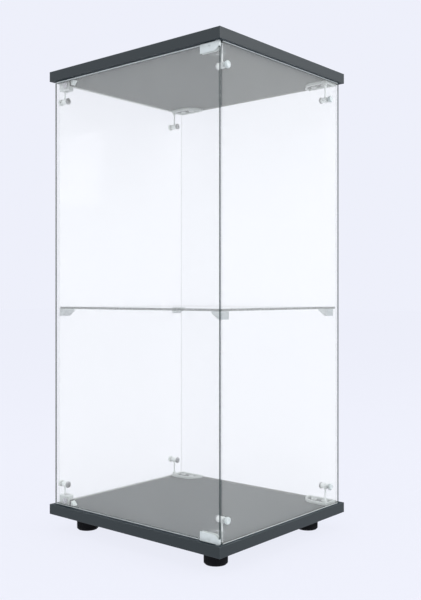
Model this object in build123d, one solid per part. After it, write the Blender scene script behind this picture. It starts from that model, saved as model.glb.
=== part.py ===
"""Tower display case: two boards, four glass panes, one glass shelf and a swinging glass door.

Frame: origin on the floor under the middle of the case, +X to the right of someone facing the door,
+Y towards the back, +Z up. The door is the front pane. All lengths are in millimetres.
"""

from build123d import *
import os

# ---------------------------------------------------------------- driving dimensions

# The two boards
case_width = 405.0
case_depth = 360.0
case_height = 810.0             # underside of the bottom board to the top of the top board
board_thickness = 18.0
edging_thickness = 1.0          # plastic strip glued round each board
edging_rounding = 0.6
groove_depth = 3.0              # the fixed panes stand in grooves this deep

# The glass
glass_thickness = 4.0
glass_inset = 7.0               # from a board's edge to the outside of the glass
glass_arris = 0.4               # chamfer ground on every glass edge
pane_fit = 0.1                  # clearance on each side of a pane in its groove or channel
door_gap = 3.0                  # between the back of the door and whatever stands behind it
door_to_board = 2.2             # between the door's top and bottom edges and the boards

# The shelf and the four wedges it rests on
shelf_height = 404.0            # floor to the underside of the shelf
shelf_thickness = 4.0
shelf_clearance = 1.0           # between the shelf and the fixed panes
shelf_door_clearance = 0.5      # how far the shelf stops behind the side panes' front edges
rest_reach = 18.0
rest_length = 22.0
rest_lip = 3.0
rest_height = 13.0
rest_root = 4.0
rest_rounding = 1.0
front_rest_setback = 14.0       # from the inside of the front pane to the middle of a wedge
back_rest_setback = 20.0        # from the inside of the back pane to the middle of a wedge

# Corner brackets: a block in each front corner, a rimmed plate in each back corner
block_reach = 24.0
block_depth = 16.0
block_height = 17.0
block_corner_radius = 7.0
block_rounding = 1.0
plate_reach = 58.0
plate_depth = 33.0
plate_thickness = 2.5
plate_corner_radius = 28.0
rim_width = 2.5
rim_height = 5.0
boss_radius = 3.6               # the plate's boss round its stem
boss_height = 9.0
screw_boss_radius = 5.0
screw_boss_height = 4.5

# Stems and the clamps that hold the side panes
stem_radius = 1.5
stem_inset = 4.2                # from a side pane's inner face to the stem's axis
stem_socket_depth = 6.0
clamp_height = 35.0             # from a board to a clamp's axis
front_clamp_setback = 12.5      # from the inside of the front pane to a clamp's axis
back_clamp_setback = 29.0       # from the inside of the back pane to a clamp's axis
barrel_radius = 5.0
barrel_length = 12.0
barrel_rounding = 0.8
clamp_screw_radius = 2.0
clamp_head_radius = 5.8
clamp_head_thickness = 3.0
clamp_head_rounding = 0.8
pane_hole_radius = 3.0
washer_radius = 5.5
washer_thickness = 1.0
knob_radius = 6.0
knob_thickness = 4.6
knob_rounding = 1.6
knob_wall = 1.4                 # closed outer end of a knob
piece_fit = 0.05                # clearance round a pin, screw or stem in its hole

# Wood screws that hold the brackets and feet
wood_screw_radius = 1.8
wood_screw_head_radius = 3.6
wood_screw_head_depth = 2.0
wood_screw_bite = 11.0
cross_slot_width = 1.0
cross_slot_depth = 1.0

# The door's hinge and catch
hinge_to_edge = 4.0             # from the door's side edge to the pivot's axis
pivot_radius = 2.0
pivot_in_board = 8.0
pivot_in_shoe = 4.0
shoe_length = 38.0
shoe_height = 14.0
shoe_thickness = 7.0
shoe_corner_radius = 11.0
shoe_end_radius = 2.5
shoe_boss_length = 12.0
shoe_boss_height = 8.0
thrust_washer_radius = 3.8
thrust_washer_thickness = 1.0
door_top_play = 0.3
shoe_screw_radius = 2.0
shoe_screw_proud = 0.5
shoe_screw_height = 4.5         # from the shoe's board side to the screw
shoe_socket_radius = 1.1
magnet_radius = 3.0
magnet_depth = 8.0              # how far the magnet sits in its bracket
magnet_reach = 18.5             # from the side pane to the magnet's axis
magnet_gap = 0.3                # between the magnet and the strike plate
strike_width = 11.0
strike_height = 10.0
strike_thickness = 1.0

# Feet
foot_radius = 20.0
foot_height = 28.0              # floor to the underside of the bottom board
foot_inset = 49.0               # from a board's edges to a foot's axis
foot_rounding = 1.5
pad_radius = 17.5
pad_thickness = 3.0
pad_recess = 1.5
foot_well_radius = 6.0
foot_well_depth = 14.0
foot_screw_radius = 2.4
foot_screw_head_radius = 4.6
foot_screw_head_depth = 3.0
foot_screw_bite = 12.0

# ---------------------------------------------------------------- planes worked out from them

deck_z = foot_height + board_thickness                  # upper face of the bottom board
roof_z = foot_height + case_height - board_thickness    # underside of the top board
top_z = foot_height + case_height
middle_z = (deck_z + roof_z) / 2

side_out = case_width / 2 - glass_inset
side_in = side_out - glass_thickness
front_out = -(case_depth / 2 - glass_inset)
front_in = front_out + glass_thickness
back_out = case_depth / 2 - glass_inset
back_in = back_out - glass_thickness
side_front = front_in + door_gap                        # front edges of the side panes

front_clamp_y = front_in + front_clamp_setback
back_clamp_y = back_in - back_clamp_setback
clamp_z = deck_z + clamp_height
stem_x = -(side_in - stem_inset)

pivot_x = side_out - hinge_to_edge
pivot_y = (front_out + front_in) / 2
shoe_z = deck_z + thrust_washer_thickness
door_bottom_z = deck_z + door_to_board
door_middle_z = middle_z - door_top_play / 2

magnet_x = -(side_in - magnet_reach)
magnet_z = deck_z + block_height / 2
magnet_face_y = front_in + strike_thickness + magnet_gap

foot_x = case_width / 2 - foot_inset
foot_y = case_depth / 2 - foot_inset

# Where the wood screws stand, for the left-hand brackets
block_screw = (-(side_in - 0.46 * block_reach), side_front + block_depth / 2)
plate_screws = (
    (-(side_in - 0.28 * plate_reach), back_in - 0.42 * plate_depth),
    (-(side_in - 0.66 * plate_reach), back_in - 0.42 * plate_depth),
)


# ---------------------------------------------------------------- helpers

def block(x0, x1, y0, y1, z0, z1):
    """A box between two corners."""
    solid = Box(x1 - x0, y1 - y0, z1 - z0, align=(Align.MIN, Align.MIN, Align.MIN))
    return Pos(x0, y0, z0) * solid


def rod_z(radius, x, y, z0, z1):
    """An upright round bar from z0 to z1."""
    solid = Cylinder(radius, z1 - z0, align=(Align.CENTER, Align.CENTER, Align.MIN))
    return Pos(x, y, z0) * solid


def rod_x(radius, x0, x1, y, z):
    """A round bar along X from x0 to x1."""
    solid = Cylinder(radius, x1 - x0, align=(Align.CENTER, Align.CENTER, Align.MIN))
    return Pos(x0, y, z) * Rot(0, 90, 0) * solid


def rod_y(radius, x, y0, y1, z):
    """A round bar along Y from y0 to y1."""
    solid = Cylinder(radius, y1 - y0, align=(Align.CENTER, Align.CENTER, Align.MIN))
    return Pos(x, y0, z) * Rot(-90, 0, 0) * solid


def to_right(shape):
    """The right-hand copy of a left-hand piece."""
    return shape.mirror(Plane.YZ)


def to_top(shape, mirror_z=middle_z):
    """The upper copy of a lower piece."""
    return shape.mirror(Plane.XY.offset(mirror_z))


def place(shape, side, level):
    """Put a piece made for the bottom left into any of the four places."""
    placed = to_right(shape) if side == "right" else shape
    return to_top(placed) if level == "top" else placed


def save(name, *pieces):
    """Write one node, which may be several separate solids."""
    solids = [solid for piece in pieces for solid in piece.solids()]
    shape = solids[0] if len(solids) == 1 else Compound(children=solids)
    export_step(shape, f"parts/{name}.step")


def ground(pane):
    """Chamfer the arrises of a plain pane."""
    return chamfer(pane.edges(), glass_arris)


# ---------------------------------------------------------------- boards

def board_core():
    """The bottom board without its edging: grooves for three panes and holes for what screws in."""
    half_x = case_width / 2 - edging_thickness
    half_y = case_depth / 2 - edging_thickness
    core = block(-half_x, half_x, -half_y, half_y, foot_height, deck_z)
    groove_z = deck_z - groove_depth
    for sign in (-1, 1):
        near = sign * side_in - sign * pane_fit
        far = sign * side_out + sign * pane_fit
        core -= block(min(near, far), max(near, far), side_front - pane_fit, back_out + pane_fit,
                      groove_z, deck_z)
    core -= block(-side_out - pane_fit, side_out + pane_fit, back_in - pane_fit, back_out + pane_fit,
                  groove_z, deck_z)
    for x, y in (block_screw,) + plate_screws:
        for sign in (-1, 1):
            core -= rod_z(wood_screw_radius + piece_fit, sign * x, y, deck_z - wood_screw_bite, deck_z)
    core -= rod_z(pivot_radius + piece_fit, pivot_x, pivot_y, deck_z - pivot_in_board, deck_z)
    return core


def drill_for_feet(core):
    """Pilot holes for the four foot screws, from below."""
    for x in (-foot_x, foot_x):
        for y in (-foot_y, foot_y):
            core -= rod_z(foot_screw_radius + piece_fit, x, y, foot_height, foot_height + foot_screw_bite)
    return core


def board_edging():
    """Four strips round the bottom board: two along the full width and two between them."""
    half_x = case_width / 2
    half_y = case_depth / 2
    strips = []
    for sign in (-1, 1):
        outer = sign * half_y
        inner = sign * (half_y - edging_thickness)
        strip = block(-half_x, half_x, min(outer, inner), max(outer, inner), foot_height, deck_z)
        edges = strip.edges().filter_by(Axis.X).group_by(Axis.Y)[0 if sign < 0 else -1]
        strips.append(fillet(edges, edging_rounding))
    for sign in (-1, 1):
        outer = sign * half_x
        inner = sign * (half_x - edging_thickness)
        strip = block(min(outer, inner), max(outer, inner), -half_y + edging_thickness,
                      half_y - edging_thickness, foot_height, deck_z)
        edges = strip.edges().filter_by(Axis.Y).group_by(Axis.X)[0 if sign < 0 else -1]
        strips.append(fillet(edges, edging_rounding))
    return strips


# ---------------------------------------------------------------- glass

def side_pane():
    """Left-hand side pane with a hole for each of its four clamp screws."""
    pane = ground(block(-side_out, -side_in, side_front, back_in, deck_z - groove_depth,
                        roof_z + groove_depth))
    for y in (front_clamp_y, back_clamp_y):
        hole = rod_x(pane_hole_radius, -side_out, -side_in, y, clamp_z)
        pane -= hole
        pane -= to_top(hole)
    return pane


def back_pane():
    """Back pane, as wide as the case, with the side panes butting against it."""
    return ground(block(-side_out, side_out, back_in, back_out, deck_z - groove_depth,
                        roof_z + groove_depth))


def door_pane():
    """Door pane, notched at both right-hand corners for the hinge shoes' bosses."""
    pane = block(-side_out, side_out, front_out, front_in, door_bottom_z,
                 2 * door_middle_z - door_bottom_z)
    pane = ground(pane)
    notch = block(side_out - shoe_boss_length - 2 * pane_fit, side_out, front_out, front_in,
                  door_bottom_z, shoe_z + shoe_boss_height + 2 * pane_fit)
    return pane - notch - to_top(notch, door_middle_z)


def shelf_pane():
    """The loose shelf, just short of the panes round it."""
    return ground(block(-side_in + shelf_clearance, side_in - shelf_clearance,
                        side_front + shelf_door_clearance, back_in - shelf_clearance,
                        shelf_height, shelf_height + shelf_thickness))


def shelf_rest(middle_y):
    """A clear wedge bonded to the left pane: flat on top, thick at the glass, thin at its free end."""
    x = -side_in
    outline = Polyline(
        (x, shelf_height),
        (x + rest_reach, shelf_height),
        (x + rest_reach, shelf_height - rest_lip),
        (x + rest_root, shelf_height - rest_height),
        (x, shelf_height - rest_height),
        close=True,
    )
    face = Plane.XZ * make_face(outline)
    wedge = extrude(face, rest_length / 2, both=True)
    wedge = Pos(0, middle_y, 0) * wedge
    free_end = wedge.edges().filter_by(Axis.Y).group_by(Axis.X)[-1]
    return fillet(free_end, rest_rounding)


# ---------------------------------------------------------------- corner brackets

def front_bracket(has_magnet):
    """A solid block in the front left corner, with a socket for the stem and a countersunk screw."""
    x0 = -side_in
    x1 = x0 + block_reach
    y0 = side_front
    y1 = y0 + block_depth
    top = deck_z + block_height
    body = block(x0, x1, y0, y1, deck_z, top)
    free_corner = body.edges().filter_by(Axis.Z).sort_by(Axis.X)[-2:].sort_by(Axis.Y)[-1]
    body = fillet(free_corner, min(block_corner_radius, 0.8 * block_depth, 0.8 * block_reach))
    body = fillet(body.faces().sort_by(Axis.Z)[-1].edges(), block_rounding)
    body -= screw_hole(*block_screw, deck_z, top)
    body -= rod_z(stem_radius + piece_fit, stem_x, front_clamp_y, top - stem_socket_depth, top)
    if has_magnet:
        body -= rod_y(magnet_radius + piece_fit, magnet_x, y0, y0 + magnet_depth, magnet_z)
    return body


def back_bracket():
    """A quarter-round plate in the back left corner with a raised rim and bosses."""
    x0 = -side_in
    x1 = x0 + plate_reach
    y0 = back_in - plate_depth
    top = deck_z + rim_height
    floor = deck_z + plate_thickness
    outline = block(x0, x1, y0, back_in, deck_z, top)
    radius = min(plate_corner_radius, 0.9 * plate_depth, 0.9 * plate_reach)
    free_corner = outline.edges().filter_by(Axis.Z).sort_by(Axis.X)[-2:].sort_by(Axis.Y)[0]
    body = fillet(free_corner, radius)
    well = block(x0 + rim_width, x1 - rim_width, y0 + rim_width, back_in - rim_width, floor, top)
    well_corner = well.edges().filter_by(Axis.Z).sort_by(Axis.X)[-2:].sort_by(Axis.Y)[0]
    body -= fillet(well_corner, radius - rim_width)
    boss_top = deck_z + boss_height
    body += rod_z(boss_radius, stem_x, back_clamp_y, floor, boss_top) & block(
        x0, x1, y0, back_in, floor, boss_top)
    for x, y in plate_screws:
        body += rod_z(screw_boss_radius, x, y, floor, deck_z + screw_boss_height)
        body -= screw_hole(x, y, deck_z, deck_z + screw_boss_height)
    body -= rod_z(stem_radius + piece_fit, stem_x, back_clamp_y, boss_top - stem_socket_depth, boss_top)
    return body


def screw_hole(x, y, z0, z1):
    """Clearance for a wood screw and its sunk head."""
    shank = rod_z(wood_screw_radius + piece_fit, x, y, z0, z1)
    head = rod_z(wood_screw_head_radius + piece_fit, x, y, z1 - wood_screw_head_depth, z1)
    return shank + head


def wood_screw(x, y, seat_top):
    """A cross-headed wood screw whose head is flush with seat_top."""
    head_z = seat_top - wood_screw_head_depth
    head = rod_z(wood_screw_head_radius, x, y, head_z, seat_top)
    shank = rod_z(wood_screw_radius, x, y, deck_z - wood_screw_bite, head_z)
    return head + shank - cross_slot(x, y, seat_top)


def cross_slot(x, y, z):
    """The cross cut in a screw's head, at height z."""
    half = 0.6 * wood_screw_head_radius
    half_slot = cross_slot_width / 2
    bar_x = block(x - half, x + half, y - half_slot, y + half_slot, z - cross_slot_depth, z)
    bar_y = block(x - half_slot, x + half_slot, y - half, y + half, z - cross_slot_depth, z)
    return bar_x + bar_y


# ---------------------------------------------------------------- stems and clamps

def stem(y, seat_top):
    """The thin upright rod between a bracket and its clamp."""
    upper = clamp_z - (barrel_radius + clamp_screw_radius) / 2
    return rod_z(stem_radius, stem_x, y, seat_top - stem_socket_depth, upper)


def clamp_barrel(y):
    """The round spacer inside the left pane that a clamp's screw runs through."""
    x0 = -side_in
    x1 = x0 + barrel_length
    barrel = rod_x(barrel_radius, x0, x1, y, clamp_z)
    barrel = fillet(barrel.edges().filter_by(GeomType.CIRCLE), barrel_rounding)
    barrel -= rod_x(clamp_screw_radius + piece_fit, x0, x1, y, clamp_z)
    upper = clamp_z - (barrel_radius + clamp_screw_radius) / 2
    barrel -= rod_z(stem_radius + piece_fit, stem_x, y, clamp_z - barrel_radius, upper)
    return barrel


def clamp_screw(y):
    """The screw from the barrel's inner end, through the left pane, into the knob outside."""
    x0 = -side_in + barrel_length
    x1 = x0 + clamp_head_thickness
    head = rod_x(clamp_head_radius, x0, x1, y, clamp_z)
    head = fillet(head.edges().filter_by(GeomType.CIRCLE).group_by(Axis.X)[-1], clamp_head_rounding)
    half = 0.6 * clamp_head_radius
    half_slot = cross_slot_width / 2
    head -= block(x1 - cross_slot_depth, x1, y - half, y + half, clamp_z - half_slot, clamp_z + half_slot)
    head -= block(x1 - cross_slot_depth, x1, y - half_slot, y + half_slot, clamp_z - half, clamp_z + half)
    tip = -side_out - washer_thickness - knob_thickness + knob_wall
    return head + rod_x(clamp_screw_radius, tip, x0, y, clamp_z)


def clamp_washer(y):
    """The soft washer between the left pane and a knob."""
    x1 = -side_out
    washer = rod_x(washer_radius, x1 - washer_thickness, x1, y, clamp_z)
    return washer - rod_x(clamp_screw_radius + piece_fit, x1 - washer_thickness, x1, y, clamp_z)


def clamp_knob(y):
    """The round cap nut outside the left pane."""
    x1 = -side_out - washer_thickness
    x0 = x1 - knob_thickness
    knob = rod_x(knob_radius, x0, x1, y, clamp_z)
    knob = fillet(knob.edges().filter_by(GeomType.CIRCLE).group_by(Axis.X)[0], knob_rounding)
    return knob - rod_x(clamp_screw_radius + piece_fit, x0 + knob_wall, x1, y, clamp_z)


# ---------------------------------------------------------------- door hinge and catch

def door_shoe():
    """The shoe on the door's lower right corner: a channel for the glass and a boss for the pivot."""
    x0 = side_out - shoe_length
    y0 = pivot_y - shoe_thickness / 2
    y1 = pivot_y + shoe_thickness / 2
    top = shoe_z + shoe_height
    shoe = block(x0, side_out, y0, y1, shoe_z, top)
    end_edges = shoe.edges().filter_by(Axis.Z).group_by(Axis.X)[-1]
    shoe = fillet(end_edges, shoe_end_radius)
    outside = block(x0, side_out, y0, y1, shoe_z, top)
    corner = outside.edges().filter_by(Axis.Y).group_by(Axis.X)[-1].sort_by(Axis.Z)[-1]
    shoe = shoe & fillet(corner, min(shoe_corner_radius, 0.9 * shoe_height))
    boss_x = side_out - shoe_boss_length
    channel_y0 = front_out - pane_fit
    channel_y1 = front_in + pane_fit
    shoe -= block(x0, boss_x, channel_y0, channel_y1, door_bottom_z - pane_fit, top)
    shoe -= block(boss_x, side_out, channel_y0, channel_y1, shoe_z + shoe_boss_height, top)
    shoe -= rod_z(pivot_radius + piece_fit, pivot_x, pivot_y, shoe_z, shoe_z + pivot_in_shoe + pivot_radius)
    screw_x = side_out - shoe_length / 2
    screw_z = shoe_z + shoe_screw_height
    shoe -= rod_y(shoe_screw_radius + piece_fit, screw_x, y0, channel_y0, screw_z)
    return shoe


def shoe_screw():
    """The grub screw that grips the door's glass in a shoe."""
    x = side_out - shoe_length / 2
    z = shoe_z + shoe_screw_height
    face_y = pivot_y - shoe_thickness / 2 - shoe_screw_proud
    screw = rod_y(shoe_screw_radius, x, face_y, front_out, z)
    return screw - rod_y(shoe_socket_radius, x, face_y, face_y + shoe_screw_radius / 2, z)


def hinge_pin():
    """The steel pin pressed into the bottom board that the door turns on."""
    pin_top = shoe_z + pivot_in_shoe
    pin = rod_z(pivot_radius, pivot_x, pivot_y, deck_z - pivot_in_board, pin_top)
    return chamfer(pin.edges().filter_by(GeomType.CIRCLE), pivot_radius / 5)


def thrust_washer():
    """The plastic washer that the door stands on."""
    washer = rod_z(thrust_washer_radius, pivot_x, pivot_y, deck_z, shoe_z)
    return washer - rod_z(pivot_radius + piece_fit, pivot_x, pivot_y, deck_z, shoe_z)


def catch_magnet():
    """The magnet in the lower left front bracket."""
    return rod_y(magnet_radius, magnet_x, magnet_face_y, side_front + magnet_depth, magnet_z)


def strike_plate():
    """The thin steel plate stuck on the back of the door, facing the magnet."""
    half = strike_width / 2
    z0 = magnet_z - strike_height / 2
    plate = block(magnet_x - half, magnet_x + half, front_in, front_in + strike_thickness, z0,
                  z0 + strike_height)
    return fillet(plate.edges().filter_by(Axis.Y), 1.5 * strike_thickness)


# ---------------------------------------------------------------- feet

def foot(x, y):
    """A round foot with a well for its screw and a recess for its pad."""
    bottom = pad_thickness - pad_recess
    body = rod_z(foot_radius, x, y, bottom, foot_height)
    body = fillet(body.edges().filter_by(GeomType.CIRCLE), foot_rounding)
    body -= rod_z(pad_radius + pane_fit, x, y, bottom, pad_thickness)
    body -= rod_z(foot_well_radius, x, y, pad_thickness, pad_thickness + foot_well_depth)
    return body - rod_z(foot_screw_radius + piece_fit, x, y, pad_thickness, foot_height)


def foot_pad(x, y):
    """The soft disc that the foot stands on."""
    return rod_z(pad_radius, x, y, 0, pad_thickness)


def foot_screw(x, y):
    """The screw from the foot's well up into the bottom board."""
    seat = pad_thickness + foot_well_depth
    head = rod_z(foot_screw_head_radius, x, y, seat - foot_screw_head_depth, seat)
    shank = rod_z(foot_screw_radius, x, y, seat, foot_height + foot_screw_bite)
    return head + shank


# ---------------------------------------------------------------- build and write every node

os.makedirs("parts", exist_ok=True)

save("bottom_board", drill_for_feet(board_core()))
save("top_board", to_top(board_core()))
save("bottom_board_edging", *board_edging())
save("top_board_edging", *[to_top(strip) for strip in board_edging()])

save("left_side_glass", side_pane())
save("right_side_glass", to_right(side_pane()))
save("back_glass", back_pane())
save("shelf_glass", shelf_pane())

ends = {
    "front": (front_clamp_y, deck_z + block_height, front_in + front_rest_setback),
    "back": (back_clamp_y, deck_z + boss_height, back_in - back_rest_setback),
}
stems = []
clamp_screws = []
clamp_washers = []
clamp_knobs = []
bracket_screws = []
for side in ("left", "right"):
    for end, (clamp_y, seat_top, rest_y) in ends.items():
        save(f"shelf_rest_{end}_{side}", place(shelf_rest(rest_y), side, "bottom"))
        for level in ("bottom", "top"):
            bracket = back_bracket() if end == "back" else front_bracket(side == "left")
            save(f"{level}_bracket_{end}_{side}", place(bracket, side, level))
            save(f"{level}_clamp_barrel_{end}_{side}", place(clamp_barrel(clamp_y), side, level))
            stems.append(place(stem(clamp_y, seat_top), side, level))
            clamp_screws.append(place(clamp_screw(clamp_y), side, level))
            clamp_washers.append(place(clamp_washer(clamp_y), side, level))
            clamp_knobs.append(place(clamp_knob(clamp_y), side, level))
            bracket_screws.extend(
                place(wood_screw(x, y, deck_z + (screw_boss_height if end == "back" else block_height)),
                      side, level)
                for x, y in (plate_screws if end == "back" else (block_screw,))
            )
save("bracket_stems", *stems)
save("clamp_screws", *clamp_screws)
save("clamp_washers", *clamp_washers)
save("clamp_knobs", *clamp_knobs)
save("bracket_screws", *bracket_screws)

save("door_glass", door_pane())
save("door_shoe_bottom", door_shoe())
save("door_shoe_top", to_top(door_shoe(), door_middle_z))
save("door_shoe_screws", shoe_screw(), to_top(shoe_screw(), door_middle_z))
save("door_strike_plates", strike_plate(), to_top(strike_plate()))
save("hinge_pin_bottom", hinge_pin())
save("hinge_pin_top", to_top(hinge_pin()))
save("hinge_washers", thrust_washer(), to_top(thrust_washer()))
save("catch_magnets", catch_magnet(), to_top(catch_magnet()))

foot_places = {
    "front_left": (-foot_x, -foot_y),
    "front_right": (foot_x, -foot_y),
    "back_left": (-foot_x, foot_y),
    "back_right": (foot_x, foot_y),
}
for name, (x, y) in foot_places.items():
    save(f"foot_{name}", foot(x, y))
save("foot_pads", *[foot_pad(x, y) for x, y in foot_places.values()])
save("foot_screws", *[foot_screw(x, y) for x, y in foot_places.values()])
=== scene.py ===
# %% [markdown]
# # A tower display case
# The case is two charcoal boards with five panes of glass between them, held by small moulded
# fittings. The engineering model already has every piece at its true size, so this lesson opens it
# as a frame and spends its effort on finishes, soft edges and the small fittings.

# %% Open the shared frame
import math

import bmesh
import bpy
from mathutils import Matrix, Vector


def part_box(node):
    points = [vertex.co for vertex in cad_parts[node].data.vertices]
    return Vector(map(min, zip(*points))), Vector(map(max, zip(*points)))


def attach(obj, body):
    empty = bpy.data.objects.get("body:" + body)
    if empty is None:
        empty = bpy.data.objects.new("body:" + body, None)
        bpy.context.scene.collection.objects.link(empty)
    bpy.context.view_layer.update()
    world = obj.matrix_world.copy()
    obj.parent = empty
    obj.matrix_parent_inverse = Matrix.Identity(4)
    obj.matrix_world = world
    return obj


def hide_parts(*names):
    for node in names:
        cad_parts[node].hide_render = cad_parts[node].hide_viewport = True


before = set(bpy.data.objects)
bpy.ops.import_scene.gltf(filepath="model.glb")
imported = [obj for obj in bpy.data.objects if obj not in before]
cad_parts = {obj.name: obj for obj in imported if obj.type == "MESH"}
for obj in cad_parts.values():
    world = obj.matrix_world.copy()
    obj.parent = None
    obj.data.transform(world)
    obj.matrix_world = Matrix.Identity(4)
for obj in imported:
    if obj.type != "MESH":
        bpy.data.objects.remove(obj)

MM = 0.001
SCENE = bpy.context.scene
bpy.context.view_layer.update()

# %% [markdown]
# Every fitting takes its place from a piece of the frame. These helpers read a piece's low and high
# corners and its middle, so that no place is typed in twice.

# %% Where things are
def low(node):
    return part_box(node)[0]


def high(node):
    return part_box(node)[1]


def middle(node):
    return (low(node) + high(node)) / 2


SIDES = ("left", "right")
ENDS = ("front", "back")
LEVELS = ("bottom", "top")
DECK_Z = high("bottom_board").z
ROOF_Z = low("top_board").z
print("clear height between the boards", round((ROOF_Z - DECK_Z) / MM, 1), "mm")

# %% [markdown]
# ## The room
# A plain pale studio has no visible walls. A world of one even colour lights the case from all
# round, the floor has nearly the same brightness as the world so that no horizon shows, and three
# large soft lamps give the boards and fittings a bright side and a dark side.

# %% Backdrop colour and the world
STUDIO_WHITE = (0.855, 0.871, 0.962, 1.0)
WORLD_STRENGTH = 1.0

world = bpy.data.worlds.new("pale_studio")
world.use_nodes = True
sky = world.node_tree.nodes["Background"]
sky.inputs["Color"].default_value = STUDIO_WHITE
sky.inputs["Strength"].default_value = WORLD_STRENGTH
SCENE.world = world
SCENE.view_settings.view_transform = "Standard"
SCENE.view_settings.look = "None"
SCENE.cycles.transparent_max_bounces = 48
print("world", world.name)

# %% The floor
FLOOR_SIZE = 40.0
FLOOR_GLOW = 0.94
FLOOR_GREY = (0.05, 0.05, 0.053, 1.0)

floor_mesh = bpy.data.meshes.new("studio_floor")
half = FLOOR_SIZE / 2
floor_mesh.from_pydata(
    [(-half, -half, 0), (half, -half, 0), (half, half, 0), (-half, half, 0)], [], [(0, 1, 2, 3)]
)
studio_floor = bpy.data.objects.new("studio_floor", floor_mesh)
SCENE.collection.objects.link(studio_floor)
floor_finish = bpy.data.materials.new("studio_floor_paper")
floor_finish.use_nodes = True
paper = floor_finish.node_tree.nodes["Principled BSDF"]
paper.inputs["Base Color"].default_value = FLOOR_GREY
paper.inputs["Roughness"].default_value = 0.9
paper.inputs["Specular IOR Level"].default_value = 0.0
paper.inputs["Emission Color"].default_value = STUDIO_WHITE
paper.inputs["Emission Strength"].default_value = FLOOR_GLOW
studio_floor.data.materials.append(floor_finish)
print("floor", FLOOR_SIZE, "m wide")


# %% Soft lamps
def soft_lamp(name, place, aim, size, watts):
    """A square soft box that lights the case but is never seen itself."""
    lamp = bpy.data.lights.new(name, "AREA")
    lamp.shape = "SQUARE"
    lamp.size = size
    lamp.energy = watts
    holder = bpy.data.objects.new(name, lamp)
    SCENE.collection.objects.link(holder)
    holder.location = place
    holder.rotation_euler = (Vector(aim) - Vector(place)).to_track_quat("-Z", "Y").to_euler()
    holder.visible_camera = False
    return holder


CASE_MIDDLE = Vector((0, 0, (DECK_Z + ROOF_Z) / 2))
soft_lamp("lamp_right", place=(2.4, 1.3, 1.7), aim=(0.1, 0, 0.75), size=1.6, watts=42)
soft_lamp("lamp_front", place=(-0.6, -2.6, 1.5), aim=CASE_MIDDLE, size=1.8, watts=16)
soft_lamp("lamp_above", place=(0.2, -0.3, 3.0), aim=CASE_MIDDLE, size=2.0, watts=22)

# %% [markdown]
# The camera stands level with the middle of the case, off its front right corner, with a short
# telephoto lens. A level camera keeps the upright glass edges parallel.

# %% The camera
CAMERA_TURN = math.radians(40.26)
CAMERA_BACK = 1.521
CAMERA_ASIDE = 0.024
CAMERA_HEIGHT = 0.4282
SENSOR_WIDE = 36
LENS_LONG = 49.55
SHIFT_DOWN = 0.0073

ahead = Vector((-math.sin(CAMERA_TURN), math.cos(CAMERA_TURN), 0))
aside = Vector((math.cos(CAMERA_TURN), math.sin(CAMERA_TURN), 0))
camera = bpy.data.objects.new("camera", bpy.data.cameras.new("camera"))
SCENE.collection.objects.link(camera)
camera.location = aside * CAMERA_ASIDE - ahead * CAMERA_BACK + Vector((0, 0, CAMERA_HEIGHT))
camera.rotation_euler = (math.pi / 2, 0, CAMERA_TURN)
camera.data.sensor_width = SENSOR_WIDE
camera.data.lens = LENS_LONG
camera.data.shift_y = -SHIFT_DOWN
SCENE.camera = camera
print("camera", [round(v, 3) for v in camera.location])

# %% [markdown]
# ## Effects shared by the finishes
# Charcoal board, moulded plastic and glass all need the same few effects: a fine grain, broad
# uneven patches, hairlines along one direction, and wear along corners. Each effect is one shader
# group, built once. A finish sets the group's own sizes and decides what the mask does.

# %% Helpers for node trees
def new_tree(kind, name, inputs, outputs):
    """A new tree with its sockets made, with its entry's outputs and its exit's inputs."""
    tree = bpy.data.node_groups.new(name, kind)
    for label, socket_type, value in inputs:
        socket = tree.interface.new_socket(label, in_out="INPUT", socket_type=socket_type)
        if value is not None:
            socket.default_value = value
    for label, socket_type in outputs:
        tree.interface.new_socket(label, in_out="OUTPUT", socket_type=socket_type)
    enter = tree.nodes.new("NodeGroupInput")
    leave = tree.nodes.new("NodeGroupOutput")
    return tree, enter.outputs, leave.inputs


def feed(tree, socket, value):
    """Give an input a plain value, or link it where the value is a socket."""
    if isinstance(value, bpy.types.NodeSocket):
        tree.links.new(value, socket)
    else:
        socket.default_value = value


def add_node(tree, kind, **given):
    """A new node with some of its inputs given, as values or sockets."""
    node = tree.nodes.new(kind)
    for label, value in given.items():
        feed(tree, node.inputs[label.replace("_", " ")], value)
    return node


def maths(tree, operation, a, b, clamp=False):
    """The result of a Math node. a and b may be numbers or sockets."""
    node = tree.nodes.new("ShaderNodeMath")
    node.operation = operation
    node.use_clamp = clamp
    feed(tree, node.inputs[0], a)
    feed(tree, node.inputs[1], b)
    return node.outputs[0]


def vector_maths(tree, operation, a, b):
    """The outputs of a Vector Math node."""
    node = tree.nodes.new("ShaderNodeVectorMath")
    node.operation = operation
    feed(tree, node.inputs[0], a)
    feed(tree, node.inputs[1], b)
    return node.outputs


def noise_of_size(tree, place, size, **look):
    """Noise whose spots are about as large as size."""
    scale = maths(tree, "DIVIDE", 1.0, size)
    return add_node(tree, "ShaderNodeTexNoise", Vector=place, Scale=scale, **look).outputs[0]


print("helpers for node trees are ready")

# %% [markdown]
# Fine grain is the tiny pebbling pressed into laminate and moulded plastic. A noise pattern scaled
# by the size of one pebble gives both a mask for colour and a height for bump.

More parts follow.
